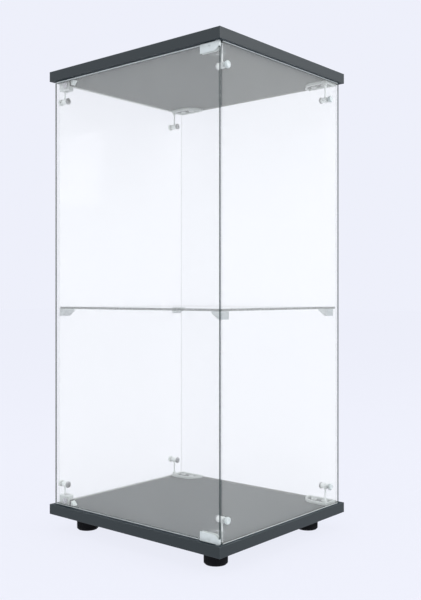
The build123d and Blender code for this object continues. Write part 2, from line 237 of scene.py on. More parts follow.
# %% Effect: fine grain
def make_fine_grain():
    group, enter, leave = new_tree(
        "ShaderNodeTree", "fine grain",
        [("Place", "NodeSocketVector", None), ("Pebble Size", "NodeSocketFloat", 0.0008),
         ("Sharpness", "NodeSocketFloat", 1.6)],
        [("Mask", "NodeSocketFloat"), ("Height", "NodeSocketFloat")],
    )
    pebbles = noise_of_size(group, enter["Place"], enter["Pebble Size"], Detail=3.0, Roughness=0.6)
    centred = maths(group, "SUBTRACT", pebbles, 0.5)
    pushed = maths(group, "MULTIPLY", centred, enter["Sharpness"])
    feed(group, leave["Mask"], maths(group, "ADD", pushed, 0.5, clamp=True))
    feed(group, leave["Height"], pebbles)
    return group


FINE_GRAIN = make_fine_grain()
print("group", FINE_GRAIN.name)

# %% [markdown]
# Uneven patches stand for slow changes: a board's printed tone, thick and thin places in moulded
# plastic, or the haze that hands leave on glass.

# %% Effect: uneven patches
def make_uneven_patches():
    group, enter, leave = new_tree(
        "ShaderNodeTree", "uneven patches",
        [("Place", "NodeSocketVector", None), ("Patch Size", "NodeSocketFloat", 0.05),
         ("Coverage", "NodeSocketFloat", 0.5), ("Softness", "NodeSocketFloat", 0.25)],
        [("Mask", "NodeSocketFloat")],
    )
    spots = noise_of_size(group, enter["Place"], enter["Patch Size"], Detail=4.0, Distortion=0.4)
    centre = maths(group, "SUBTRACT", 1.0, enter["Coverage"])
    ramp = add_node(group, "ShaderNodeMapRange", Value=spots,
                    From_Min=maths(group, "SUBTRACT", centre, enter["Softness"]),
                    From_Max=maths(group, "ADD", centre, enter["Softness"]))
    ramp.interpolation_type = "SMOOTHSTEP"
    feed(group, leave["Mask"], ramp.outputs[0])
    return group


UNEVEN_PATCHES = make_uneven_patches()
print("group", UNEVEN_PATCHES.name)

# %% [markdown]
# Hairlines run along one direction: the draw marks on edging, the grinding marks on a glass edge,
# the brushing of steel. The same noise is squeezed in two directions and stretched in the third.

# %% Effect: hairlines
def make_hairlines():
    group, enter, leave = new_tree(
        "ShaderNodeTree", "hairlines",
        [("Place", "NodeSocketVector", None), ("Stretch", "NodeSocketVector", (1.0, 1.0, 1.0)),
         ("Line Width", "NodeSocketFloat", 0.0005)],
        [("Mask", "NodeSocketFloat")],
    )
    squeezed = vector_maths(group, "MULTIPLY", enter["Place"], enter["Stretch"])[0]
    feed(group, leave["Mask"], noise_of_size(group, squeezed, enter["Line Width"], Detail=2.0))
    return group


HAIRLINES = make_hairlines()
print("group", HAIRLINES.name)

# %% [markdown]
# A Bevel node looks up a softened normal near each corner, and where that differs from the true
# normal, there is a corner. Noise breaks the line up. The plastics use this mask for a painted
# highlight along their corners; the edging and the metals use it to lighten their corners.

# %% Effect: corner mask
CORNER_CONTRAST = 5.0


def make_corner_mask():
    group, enter, leave = new_tree(
        "ShaderNodeTree", "corner mask",
        [("Place", "NodeSocketVector", None), ("Reach", "NodeSocketFloat", 0.001),
         ("Breakup Size", "NodeSocketFloat", 0.006)],
        [("Mask", "NodeSocketFloat")],
    )
    soft = add_node(group, "ShaderNodeBevel", Radius=enter["Reach"])
    soft.samples = 4
    true_normal = add_node(group, "ShaderNodeNewGeometry").outputs["Normal"]
    likeness = vector_maths(group, "DOT_PRODUCT", soft.outputs[0], true_normal)["Value"]
    corner = maths(group, "SUBTRACT", 1.0, likeness)
    strong = maths(group, "MULTIPLY", corner, CORNER_CONTRAST, clamp=True)
    breakup = noise_of_size(group, enter["Place"], enter["Breakup Size"], Detail=5.0)
    feed(group, leave["Mask"], maths(group, "MULTIPLY", strong, breakup))
    return group


CORNER_MASK = make_corner_mask()
print("group", CORNER_MASK.name)

# %% [markdown]
# ## A bench for building finishes
# A finish is a small node tree. The bench holds the tree, adds groups and mixes with one line each,
# and leaves every value that is the same all over on the shader's own socket.

# %% The finish bench
class Finish:
    def __init__(self, name, **plain):
        self.material = bpy.data.materials.new(name)
        self.material.use_nodes = True
        self.tree = self.material.node_tree
        self.shader = self.tree.nodes["Principled BSDF"]
        self.place = add_node(self.tree, "ShaderNodeTexCoord").outputs["Object"]
        for label, value in plain.items():
            self.shader.inputs[label.replace("_", " ")].default_value = value

    def effect(self, group, output="Mask", **values):
        """Place a shared effect with this finish's own values."""
        node = self.tree.nodes.new("ShaderNodeGroup")
        node.node_tree = group
        for label, value in {"Place": self.place, **values}.items():
            feed(self.tree, node.inputs[label.replace("_", " ")], value)
        return node.outputs[output]

    def between(self, mask, first, second):
        """A colour that goes from first to second as mask goes from 0 to 1."""
        mix = self.tree.nodes.new("ShaderNodeMix")
        mix.data_type = "RGBA"
        feed(self.tree, mix.inputs["Factor"], mask)
        for label, colour in (("A", first), ("B", second)):
            feed(self.tree, mix.inputs[label],
                 (*colour, 1.0) if isinstance(colour, tuple) else colour)
        return mix.outputs["Result"]

    def scaled(self, mask, at_zero, at_one):
        """A number that goes from at_zero to at_one as mask goes from 0 to 1."""
        return add_node(self.tree, "ShaderNodeMapRange", Value=mask,
                        To_Min=at_zero, To_Max=at_one).outputs[0]

    def set(self, label, output):
        """Link a pattern to one of the shader's inputs."""
        feed(self.tree, self.shader.inputs[label], output)

    def bump(self, height, depth):
        """Relief from a height pattern. depth is how far its peaks stand out."""
        relief = add_node(self.tree, "ShaderNodeBump", Distance=depth, Strength=1.0, Height=height)
        self.set("Normal", relief.outputs[0])


print("the bench is ready")

# %% [markdown]
# Charcoal laminate is printed paper under a pressed resin skin. Up close it is pebbled and a little
# mottled, and it is nearly matt, so a pebble grain drives colour, roughness and bump together.

# %% Finish: charcoal laminate
def make_laminate():
    finish = Finish("charcoal_laminate", Specular_IOR_Level=0.16)
    grain = finish.effect(FINE_GRAIN, Pebble_Size=0.0011, Sharpness=2.0)
    height = finish.effect(FINE_GRAIN, "Height", Pebble_Size=0.0011)
    patches = finish.effect(UNEVEN_PATCHES, Patch_Size=0.09, Softness=0.3)
    tone = finish.between(patches, (0.0112, 0.0203, 0.0250), (0.0142, 0.0250, 0.0305))
    finish.set("Base Color", finish.between(
        finish.scaled(grain, 0.0, 0.4), tone, (0.023, 0.036, 0.043)))
    finish.set("Roughness", finish.scaled(grain, 0.62, 0.46))
    finish.bump(height, 0.00006)
    return finish.material


LAMINATE = make_laminate()
print("finish", LAMINATE.name)

# %% [markdown]
# The edging is an extruded plastic strip in the same charcoal. It has faint draw lines along the
# board and paler corners. A strip along X and a strip along Y would want different stretches, so one
# hairline effect is squeezed along both X and Y, which gives level lines on strips that run either way.

# %% Finish: charcoal edging
def make_edging():
    finish = Finish("charcoal_edging", Specular_IOR_Level=0.3)
    grain = finish.effect(FINE_GRAIN, Pebble_Size=0.0007, Sharpness=1.6)
    lines = finish.effect(HAIRLINES, Stretch=(0.02, 0.02, 1.0), Line_Width=0.0009)
    at_corners = finish.effect(CORNER_MASK, Reach=0.0012, Breakup_Size=0.009)
    tone = finish.between(lines, (0.0140, 0.0210, 0.0230), (0.0210, 0.0295, 0.0315))
    grained = finish.between(finish.scaled(grain, 0.0, 0.3), tone, (0.030, 0.040, 0.043))
    finish.set("Base Color", finish.between(
        finish.scaled(at_corners, 0.0, 0.5), grained, (0.11, 0.125, 0.13)))
    finish.set("Roughness", finish.scaled(lines, 0.40, 0.56))
    finish.bump(lines, 0.00003)
    return finish.material


EDGING = make_edging()
print("finish", EDGING.name)

# %% [markdown]
# ## Glass
# A pane has two surfaces that look quite different. The broad faces carry a pale veil, a painted
# reflection: a pale base colour and a faint emission glow stand for the white studio that clear glass
# mirrors. The ground edges look dark grey-green, because light runs along inside the pane before it
# gets out. Alpha shows what is behind without the noise that bent light makes, and it stays right
# when the model leaves this scene.

# %% Finish: glass faces
PAINTED_REFLECTION_PER_FACE = 0.118


def make_glass_face():
    # The pale base colour and the emission glow are the painted reflection of the studio.
    finish = Finish(
        "clear_glass_face", IOR=1.52, Specular_IOR_Level=0.5,
        Base_Color=(0.905, 0.920, 0.860, 1.0),
        Emission_Color=(0.92, 0.93, 0.875, 1.0), Emission_Strength=0.12,
    )
    haze = finish.effect(UNEVEN_PATCHES, Patch_Size=0.07, Coverage=0.42, Softness=0.2)
    specks = finish.effect(UNEVEN_PATCHES, Patch_Size=0.0016, Coverage=0.22, Softness=0.04)
    marks = maths(finish.tree, "MAXIMUM", haze, specks)
    finish.set("Alpha", finish.scaled(marks, PAINTED_REFLECTION_PER_FACE - 0.003, PAINTED_REFLECTION_PER_FACE + 0.004))
    finish.set("Roughness", finish.scaled(marks, 0.02, 0.09))
    return finish.material


GLASS_FACE = make_glass_face()
print("finish", GLASS_FACE.name)


# %% Finish: glass edges
def make_glass_edge(name, alpha_dark, alpha_light, lost_from_inside=0.0):
    """Ground edge; lost_from_inside is how much of it fades where it is seen through the pane."""
    finish = Finish(name, IOR=1.52, Specular_IOR_Level=0.3)
    upright = finish.effect(HAIRLINES, Stretch=(1.0, 1.0, 0.03), Line_Width=0.0007)
    patches = finish.effect(UNEVEN_PATCHES, Patch_Size=0.012, Softness=0.3)
    tone = finish.between(upright, (0.014, 0.026, 0.023), (0.036, 0.054, 0.050))
    finish.set("Base Color", finish.between(
        finish.scaled(patches, 0.0, 0.2), tone, (0.08, 0.11, 0.105)))
    alpha = finish.scaled(upright, alpha_dark, alpha_light)
    if lost_from_inside:
        from_inside = add_node(finish.tree, "ShaderNodeNewGeometry").outputs["Backfacing"]
        shown = finish.scaled(from_inside, 1.0, 1.0 - lost_from_inside)
        alpha = maths(finish.tree, "MULTIPLY", alpha, shown)
    finish.set("Alpha", alpha)
    finish.set("Roughness", finish.scaled(patches, 0.16, 0.34))
    finish.bump(upright, 0.00003)
    return finish.material


DOOR_EDGE = make_glass_edge("door_glass_edge", 0.88, 0.76)
FIXED_EDGE = make_glass_edge("fixed_glass_edge", 0.88, 0.76, lost_from_inside=0.9)
SEALED_EDGE = make_glass_edge("sealed_glass_edge", 0.18, 0.10)
print("finishes", DOOR_EDGE.name, FIXED_EDGE.name, SEALED_EDGE.name)

# %% [markdown]
# ## Plastics
# The fittings are injection moulded. Clear blocks, frosted plates and white shoes differ in colour
# and in how much shows through, and they share a satin mould texture, cloudy thick places and a
# painted highlight, a paler tone along the corners where they catch the light. One recipe with named
# values makes them all.

# %% Finish: moulded plastic
CLOUD_SIZE = 0.006


def moulded(name, thick, thin, corner, gloss, alpha=None, rim=None, pebble=0.0005, depth=0.00002,
            reach=0.0009, **plain):
    """A moulded plastic. thick and thin are its two tones, corner the paler tone that paints a
    highlight on its edges.

    alpha is how solid it looks where it is thin and where it is thick, and rim how solid its
    corners look."""
    finish = Finish(name, **plain)
    clouds = finish.effect(UNEVEN_PATCHES, Patch_Size=CLOUD_SIZE, Softness=0.35)
    grain = finish.effect(FINE_GRAIN, Pebble_Size=pebble, Sharpness=1.4)
    height = finish.effect(FINE_GRAIN, "Height", Pebble_Size=pebble)
    at_corners = finish.effect(CORNER_MASK, Reach=reach, Breakup_Size=0.003)
    tone = finish.between(clouds, thin, thick)
    # The corner tone is a painted highlight along the edges, where they would catch the light.
    finish.set("Base Color", finish.between(finish.scaled(at_corners, 0.0, 0.8), tone, corner))
    finish.set("Roughness", finish.scaled(grain, gloss, gloss + 0.14))
    if alpha:
        solid = finish.scaled(clouds, *alpha)
        if rim:
            solid = maths(finish.tree, "MAXIMUM", solid, finish.scaled(at_corners, 0.0, rim))
        finish.set("Alpha", solid)
    finish.bump(height, depth)
    return finish.material


PALE_PLASTIC = moulded(
    "pale_moulded_plastic", (0.55, 0.59, 0.57), (0.65, 0.69, 0.67), (0.78, 0.81, 0.79),
    gloss=0.2, alpha=(0.80, 0.90), IOR=1.49)
CLEAR_PLASTIC = moulded(
    "clear_moulded_plastic", (0.42, 0.455, 0.455), (0.52, 0.56, 0.56), (0.72, 0.75, 0.75),
    gloss=0.16, alpha=(0.62, 0.78), IOR=1.49)
THIN_PLASTIC = moulded(
    "thin_clear_plastic", (0.44, 0.48, 0.47), (0.54, 0.58, 0.57), (0.74, 0.78, 0.77),
    gloss=0.2, alpha=(0.10, 0.18), IOR=1.49)
FROSTED_PLASTIC = moulded(
    "frosted_moulded_plastic", (0.44, 0.47, 0.47), (0.54, 0.57, 0.57), (0.86, 0.89, 0.88),
    gloss=0.28, alpha=(0.14, 0.26), rim=0.9, reach=0.0014, IOR=1.49)
STEM_PLASTIC = moulded(
    "stem_plastic", (0.70, 0.74, 0.72), (0.80, 0.84, 0.82), (0.90, 0.92, 0.91),
    gloss=0.22, alpha=(0.88, 0.96), IOR=1.49)
WHITE_PLASTIC = moulded(
    "white_moulded_plastic", (0.55, 0.60, 0.58), (0.62, 0.67, 0.65), (0.76, 0.80, 0.78),
    gloss=0.26, IOR=1.49)
# The washer tone is partly painted light: it is set pale so that washers standing in shade still look
# lit.
SOFT_WASHER = moulded(
    "soft_clear_washer", (0.66, 0.70, 0.68), (0.76, 0.80, 0.78), (0.84, 0.86, 0.85),
    gloss=0.38, alpha=(0.45, 0.60), IOR=1.42)
# The bead tone is partly a painted highlight: it is pale so that beads in shade under the boards still
# read as a bright line.
BEAD_AND_HIGHLIGHT_PLASTIC = moulded(
    "clear_bead_and_highlight", (0.74, 0.81, 0.79), (0.84, 0.90, 0.88), (0.90, 0.93, 0.92),
    gloss=0.25, alpha=(0.78, 0.90), IOR=1.42)
FOOT_PLASTIC = moulded(
    "black_foot_plastic", (0.0026, 0.003, 0.0038), (0.0045, 0.005, 0.006), (0.020, 0.021, 0.024),
    gloss=0.5, pebble=0.0009, depth=0.00005, Specular_IOR_Level=0.1)
FOOT_RUBBER = moulded(
    "black_foot_rubber", (0.012, 0.012, 0.013), (0.018, 0.018, 0.019), (0.035, 0.035, 0.036),
    gloss=0.72, pebble=0.0014, depth=0.00012, Specular_IOR_Level=0.3)
print("plastics made")

# %% [markdown]
# ## Metals
# Screws are zinc plated, the pivot pins are bright steel and the catch magnets are nickel plated.
# Metal shows the room in it, so its detail is in the roughness: brushing lines and dull patches.

# %% Finish: plated metal
def plated(name, bright, dull, roughness, long_axis="X"):
    """A plated metal with brushing lines along one axis and duller patches."""
    finish = Finish(name, Metallic=1.0)
    stretch = tuple(0.05 if axis == long_axis else 1.0 for axis in "XYZ")
    lines = finish.effect(HAIRLINES, Stretch=stretch, Line_Width=0.0004)
    patches = finish.effect(UNEVEN_PATCHES, Patch_Size=0.004, Softness=0.3)
    at_corners = finish.effect(CORNER_MASK, Reach=0.0005, Breakup_Size=0.002)
    tone = finish.between(patches, bright, dull)
    finish.set("Base Color", finish.between(at_corners, tone, tuple(min(1.0, c * 1.5) for c in bright)))
    finish.set("Roughness", finish.scaled(lines, *roughness))
    finish.bump(lines, 0.000015)
    return finish.material


DARK_STEEL = plated("dark_zinc_screws", (0.33, 0.335, 0.345), (0.23, 0.235, 0.245), (0.28, 0.46))
# A near-black plate beside each catch block is painted shade: it stands for the shadowed gap there.
SHADE_PLATE_BLACK = plated("painted_shade_plate_black", (0.030, 0.034, 0.036), (0.018, 0.020, 0.022), (0.35, 0.5))
BRIGHT_STEEL = plated("bright_zinc_pins", (0.62, 0.62, 0.63), (0.50, 0.50, 0.51), (0.18, 0.36), "Z")
NICKEL = plated("nickel_magnets", (0.64, 0.62, 0.58), (0.55, 0.53, 0.50), (0.08, 0.2), "Y")
print("metals made")

# %% [markdown]
# ## Boards and what keeps its shape
# The boards and their edging, the pins, magnets, strike plates and pads, and the screws that hardly
# show already have the right shape, so they only take a finish.


# %% Finishes for the pieces that stay
def paint(material, *nodes):
    """Give a finish to frame pieces that keep their shape."""
    for node in nodes:
        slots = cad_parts[node].data.materials
        slots.clear()
        slots.append(material)
    print(material.name, "on", len(nodes), "pieces")


paint(LAMINATE, "bottom_board", "top_board")
paint(EDGING, "bottom_board_edging", "top_board_edging")
paint(BRIGHT_STEEL, "hinge_pin_bottom", "hinge_pin_top", "door_strike_plates")
paint(WHITE_PLASTIC, "door_shoe_screws")
paint(NICKEL, "catch_magnets")
paint(SOFT_WASHER, "hinge_washers")
paint(FOOT_RUBBER, "foot_pads")
paint(DARK_STEEL, "foot_screws")

# %% [markdown]
# ## Turning a frame piece into a finished one
# A frame mesh is loose triangles with sharp corners. A merged copy can be given real rounded
# corners by a Bevel modifier, and its faces can be sorted between two finishes. The original stays
# hidden behind it.

# %% Helpers for finished pieces
WELD = 0.002 * MM               # points closer than this are one point


def new_piece(name, mesh, body, replaced=()):
    """Link a finished mesh, make it ride on its body and hide what it stands for."""
    piece = bpy.data.objects.new(name, mesh)
    SCENE.collection.objects.link(piece)
    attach(piece, body)
    if replaced:
        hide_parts(*replaced)
    print(name, "has", len(mesh.polygons), "faces, on", body)
    return piece


def welded_shape(node):
    """A frame piece's loose triangles as an open bmesh, joined where they meet."""
    shape = bmesh.new()
    shape.from_mesh(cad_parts[node].data)
    bmesh.ops.remove_doubles(shape, verts=shape.verts, dist=WELD)
    return shape


def closed_mesh(name, shape, outwards=False):
    """The mesh of an open bmesh; outwards works out afresh which way its faces look."""
    if outwards:
        bmesh.ops.recalc_face_normals(shape, faces=shape.faces)
    mesh = bpy.data.meshes.new(name)
    shape.to_mesh(mesh)
    shape.free()
    return mesh


def evaluated(mesh, build):
    """The mesh after the modifiers that build() adds to a holder, which is then removed."""
    holder = bpy.data.objects.new("holder", mesh)
    SCENE.collection.objects.link(holder)
    build(holder)
    bpy.context.view_layer.update()
    seen = holder.evaluated_get(bpy.context.evaluated_depsgraph_get())
    result = bpy.data.meshes.new_from_object(seen)
    bpy.data.objects.remove(holder)
    return result


def smooth_by_angle(mesh, degrees):
    mesh.shade_smooth()
    mesh.set_sharp_from_angle(angle=math.radians(degrees))


def rounded(mesh, material, radius, segments, sharper_than):
    """A copy of a mesh in one finish, rounded where two faces meet more sharply than an angle."""
    def soften(holder):
        bevel = holder.modifiers.new("soft corners", "BEVEL")
        bevel.width = radius
        bevel.segments = segments
        bevel.limit_method = "ANGLE"
        bevel.angle_limit = math.radians(sharper_than)
    result = evaluated(mesh, soften)
    result.materials.clear()
    result.materials.append(material)
    smooth_by_angle(result, 40)
    return result


print("helpers for pieces are ready")

# %% [markdown]
# Each pane is a merged copy whose faces are sorted by where they are and which way they look. Along
# the pane's thin direction is a polished face. The walls of the drilled holes, and a side pane's
# upright edges at the door and the back pane, are sealed and nearly clear. The rest is ground edge.

# %% Glass panes
HOLE_MARGIN = 5.0 * MM
SEALED_DEPTH = 0.5 * MM
X_AXIS, Y_AXIS, Z_AXIS = 0, 1, 2


def make_pane(node, body, thin_axis, edge, sealed=lambda centre: False):
    """A pane with polished faces; edge is its ground edge, sealed says which edges hardly show."""
    mesh = closed_mesh(node, welded_shape(node))
    for material in (GLASS_FACE, edge, SEALED_EDGE):
        mesh.materials.append(material)
    broad = [axis for axis in (X_AXIS, Y_AXIS, Z_AXIS) if axis != thin_axis]
    for face in mesh.polygons:
        in_hole = all(low(node)[a] + HOLE_MARGIN < face.center[a] < high(node)[a] - HOLE_MARGIN
                      for a in broad)
        if abs(face.normal[thin_axis]) > 0.98:
            face.material_index = 0
        else:
            face.material_index = 2 if in_hole or sealed(face.center) else 1
    return new_piece(node + "_pane", mesh, body, [node])


for side in SIDES:
    node = f"{side}_side_glass"
    front_y, back_y = low(node).y + SEALED_DEPTH, high(node).y - SEALED_DEPTH
    make_pane(node, "case", X_AXIS, FIXED_EDGE,
              lambda centre: centre.y < front_y or centre.y > back_y)
make_pane("back_glass", "case", Y_AXIS, FIXED_EDGE)
make_pane("door_glass", "door", Y_AXIS, DOOR_EDGE)
make_pane("shelf_glass", "shelf", Z_AXIS, FIXED_EDGE)

# %% [markdown]
# Blocks, plates, wedges and shoes get rounded corners. The Bevel modifier works on the merged copy
# and only where two faces meet sharply, so that the curves already there stay as they are.

# %% Moulded blocks, plates, wedges and shoes
PLATE_THICK = 2.5 * MM


def on_rim(face):
    """Whether a face of a corner plate belongs to its raised rim and bosses."""
    height = min(abs(face.center.z - DECK_Z), abs(face.center.z - ROOF_Z))
    floor_of_plate = abs(face.normal.z) > 0.9 and height < PLATE_THICK * 1.1
    return height > PLATE_THICK * 0.9 and not floor_of_plate


def make_moulding(node, body, material, radius, rimmed=False):
    """A frame piece with soft moulded corners; rimmed gives its raised rim the pale finish."""
    shape = welded_shape(node)
    bmesh.ops.dissolve_limit(shape, angle_limit=math.radians(0.5), verts=shape.verts,
                             edges=shape.edges)
    mesh = rounded(closed_mesh(node, shape), material, radius, segments=2, sharper_than=50)
    if rimmed:
        mesh.materials.append(PALE_PLASTIC)
        for face in mesh.polygons:
            face.material_index = 1 if on_rim(face) else 0
    return new_piece(node + "_moulding", mesh, body, [node])


for side in SIDES:
    block_plastic = PALE_PLASTIC if side == "left" else THIN_PLASTIC
    for level in LEVELS:
        make_moulding(f"{level}_bracket_front_{side}", "case", block_plastic, 0.25 * MM)
        make_moulding(f"{level}_bracket_back_{side}", "case", FROSTED_PLASTIC, 0.3 * MM,
                      rimmed=True)
    for end in ENDS:
        make_moulding(f"shelf_rest_{end}_{side}", "case", CLEAR_PLASTIC, 0.5 * MM)
for level in LEVELS:
    make_moulding(f"door_shoe_{level}", "door", WHITE_PLASTIC, 0.45 * MM)

# %% [markdown]
# ## Turned pieces
# Knobs, clamp barrels, screws, washers and feet are all round, so each starts as a profile turned
# about its own axis. Copying them by hand would mean placing some sixty pieces. Instead, a
# Geometry Nodes tree takes one turned body, adds grip ribs round it if asked, and sets a copy at
# every mark.

# %% Turning a profile
def turned(name, profile, steps=40):
    """A closed solid turned about Z. profile is (radius, height) pairs in mm, from the axis, or
    from the bore, round the outside and back."""
    shape = bmesh.new()
    rings = []
    for radius, height in ((r * MM, z * MM) for r, z in profile):
        if radius == 0.0:
            rings.append([shape.verts.new((0, 0, height))])
            continue
        angles = [2 * math.pi * step / steps for step in range(steps)]
        rings.append([shape.verts.new((radius * math.cos(angle), radius * math.sin(angle), height))
                      for angle in angles])
    has_bore = len(rings[0]) > 1 and len(rings[-1]) > 1
    pairs = list(zip(rings, rings[1:])) + ([(rings[-1], rings[0])] if has_bore else [])
    for inner, outer in pairs:
        if len(inner) == len(outer) == 1:
            continue
        for step in range(steps):
            after = (step + 1) % steps
            corners = [inner[step % len(inner)], inner[after % len(inner)],
                       outer[after % len(outer)], outer[step % len(outer)]]
            shape.faces.new(list(dict.fromkeys(corners)))
    return closed_mesh(name, shape, outwards=True)


def pattern_object(name, mesh):
    """A piece that only serves as a pattern for copies."""
    pattern = bpy.data.objects.new(name, mesh)
    SCENE.collection.objects.link(pattern)
    return pattern


print("turning is ready")

# %% The tree that ribs a turned body and sets copies at marks
GEOMETRY_IN = ("Geometry", "NodeSocketGeometry", None)
GEOMETRY_OUT = [("Geometry", "NodeSocketGeometry")]


def end_tree(tree, shape, finish, result):
    """End a tree with real faces in one finish."""
    real = add_node(tree, "GeometryNodeRealizeInstances", Geometry=shape)
    finished = add_node(tree, "GeometryNodeSetMaterial", Geometry=real.outputs[0], Material=finish)
    feed(tree, result["Geometry"], finished.outputs[0])
    print("tree", tree.name, "has", len(tree.nodes), "nodes")


def make_copies_tree():
    tree, given, result = new_tree("GeometryNodeTree", "ribbed copies at marks", [
        GEOMETRY_IN,
        ("Turned Body", "NodeSocketObject", None),
        ("Rib Count", "NodeSocketInt", 0),
        ("Rib Circle", "NodeSocketFloat", 0.005),
        ("Rib Thickness", "NodeSocketFloat", 0.0005),
        ("Rib Length", "NodeSocketFloat", 0.003),
        ("Rib Rise", "NodeSocketFloat", 0.001),
        ("Finish", "NodeSocketMaterial", None),
    ], GEOMETRY_OUT)
    circle = add_node(tree, "GeometryNodeMeshCircle", Vertices=given["Rib Count"],
                      Radius=given["Rib Circle"])
    rib = add_node(tree, "GeometryNodeMeshCylinder", Vertices=8, Radius=given["Rib Thickness"],
                   Depth=given["Rib Length"])
    lift = add_node(tree, "ShaderNodeCombineXYZ", Z=given["Rib Rise"])
    raised = add_node(tree, "GeometryNodeSetPosition", Geometry=rib.outputs["Mesh"],
                      Offset=lift.outputs[0])
    ribs = add_node(tree, "GeometryNodeInstanceOnPoints", Points=circle.outputs["Mesh"],
                    Instance=raised.outputs[0])
    body = add_node(tree, "GeometryNodeObjectInfo", Object=given["Turned Body"])
    whole = add_node(tree, "GeometryNodeJoinGeometry", Geometry=ribs.outputs[0])
    feed(tree, whole.inputs["Geometry"], body.outputs["Geometry"])
    turn = add_node(tree, "GeometryNodeInputNamedAttribute", Name="turn")
    turn.data_type = "FLOAT_VECTOR"
    rotation = add_node(tree, "FunctionNodeEulerToRotation", Euler=turn.outputs["Attribute"])
    one = add_node(tree, "GeometryNodeGeometryToInstance", Geometry=whole.outputs[0])
    copies = add_node(tree, "GeometryNodeInstanceOnPoints", Points=given["Geometry"],
                      Instance=one.outputs[0], Rotation=rotation.outputs[0])
    end_tree(tree, copies.outputs[0], given["Finish"], result)
    return tree


COPIES_AT_MARKS = make_copies_tree()


# %% Running a tree
def marks_mesh(marks):
    """A mesh of single points. marks is (place, turn) pairs."""
    mesh = bpy.data.meshes.new("marks")
    mesh.from_pydata([tuple(place) for place, turn in marks], [], [])
    turns = mesh.attributes.new("turn", "FLOAT_VECTOR", "POINT")
    for index, (place, turn) in enumerate(marks):
        turns.data[index].vector = turn
    return mesh


def run_tree(tree, mesh, values):
    """The plain mesh that a tree makes from a start mesh and named values."""
    identifiers = {item.name: item.identifier for item in tree.interface.items_tree
                   if item.item_type == "SOCKET" and item.in_out == "INPUT"}

    def build(holder):
        modifier = holder.modifiers.new("grow", "NODES")
        modifier.node_group = tree
        for label, value in values.items():
            modifier[identifiers[label]] = value
    return evaluated(mesh, build)


def set_copies(name, pattern_mesh, marks, body, material, replaced, **ribs):
    """Set copies of one turned piece at marks and make them one finished piece."""
    pattern = pattern_object(name + "_pattern", pattern_mesh)
    values = {"Turned Body": pattern, "Finish": material}
    values.update({label.replace("_", " "): value for label, value in ribs.items()})
    mesh = run_tree(COPIES_AT_MARKS, marks_mesh(marks), values)
    bpy.data.objects.remove(pattern)
    smooth_by_angle(mesh, 38)
    return new_piece(name, mesh, body, replaced)


print("trees can be run")

# %% [markdown]
# Eight clamps hold the side panes: on each, a barrel inside the glass, a screw through it, and a
# washer and a knob outside. All their marks come from the barrels' boxes. A turned piece grows
# along its own Z, so it is turned a quarter about Y to grow outwards or inwards.

# %% Where the clamps are
BARRELS = [f"{level}_clamp_barrel_{end}_{side}"
           for level in LEVELS for end in ENDS for side in SIDES]
PANE_IN = {side: (high if side == "left" else low)(f"{side}_side_glass").x for side in SIDES}
PANE_OUT = {side: (low if side == "left" else high)(f"{side}_side_glass").x for side in SIDES}
OUTWARD = {"left": (0.0, -math.pi / 2, 0.0), "right": (0.0, math.pi / 2, 0.0)}
INWARD = {"left": OUTWARD["right"], "right": OUTWARD["left"]}


def clamp_marks(start_x, turn, distance=0.0):
    """One mark for each clamp, distance further along the way it grows."""
    marks = []
    for barrel in BARRELS:
        side = "left" if barrel.endswith("left") else "right"
        centre = middle(barrel)
        step = Vector((math.sin(turn[side][1]), 0, 0)) * distance
        marks.append((Vector((start_x[side], centre.y, centre.z)) + step, turn[side]))
    return marks


print("clamps", len(BARRELS))

# %% [markdown]
# The knob is a dished cap with fine grip ribs round its rim.

# %% Clamp knobs
WASHER_THICK = 1.0
KNOB_SEAT = 3.1                 # how far the screw's end goes up into the knob
KNOB_PROFILE = [(2.05, 0.0), (5.2, 0.0), (5.55, 0.35), (5.6, 0.9), (5.6, 3.2), (5.35, 3.95),
                (4.75, 4.4), (4.1, 4.6), (3.6, 4.5), (3.2, 4.15), (2.4, 3.95), (0.0, 3.9),
                (0.0, KNOB_SEAT), (2.05, KNOB_SEAT)]
set_copies(
    "clamp_knob_caps", turned("knob", KNOB_PROFILE),
    clamp_marks(PANE_OUT, OUTWARD, WASHER_THICK * MM), "case", WHITE_PLASTIC, ["clamp_knobs"],
    Rib_Count=22, Rib_Circle=5.55 * MM, Rib_Thickness=0.42 * MM, Rib_Length=2.6 * MM,
    Rib_Rise=1.95 * MM)

# %% Clamp washers
WASHER_PROFILE = [(2.1, 0.0), (4.9, 0.0), (5.3, 0.15), (5.5, 0.5), (5.3, 0.85),
                  (4.9, WASHER_THICK), (2.1, WASHER_THICK)]
set_copies("clamp_soft_washers", turned("washer", WASHER_PROFILE), clamp_marks(PANE_OUT, OUTWARD),
           "case", SOFT_WASHER, ["clamp_washers"])

# %% [markdown]
# The barrel spaces the screw head from the glass. It has a flange at each end and a slight waist
# between them with fine ribs, as a moulded spacer does, and a sleeve lines the hole in the glass.

# %% Clamp barrels
BARREL_LONG = (high(BARRELS[0]).x - low(BARRELS[0]).x) / MM
SLEEVE_LONG = 3.9               # through the pane's hole
BARREL_PROFILE = [(2.05, -SLEEVE_LONG), (2.9, -SLEEVE_LONG), (2.9, 0.0), (4.6, 0.0),
                  (4.95, 0.3), (5.0, 0.7), (4.95, 1.3), (4.6, 1.7), (4.55, 2.2),
                  (4.55, BARREL_LONG - 2.6), (4.6, BARREL_LONG - 2.0),
                  (4.95, BARREL_LONG - 1.6), (5.0, BARREL_LONG - 0.8), (4.75, BARREL_LONG - 0.2),
                  (4.5, BARREL_LONG), (2.05, BARREL_LONG)]
set_copies(
    "clamp_spacers", turned("barrel", BARREL_PROFILE), clamp_marks(PANE_IN, INWARD), "case",
    STEM_PLASTIC, BARRELS,
    Rib_Count=12, Rib_Circle=4.5 * MM, Rib_Thickness=0.45 * MM,
    Rib_Length=(BARREL_LONG - 4.2) * MM, Rib_Rise=(BARREL_LONG / 2 - 0.1) * MM)

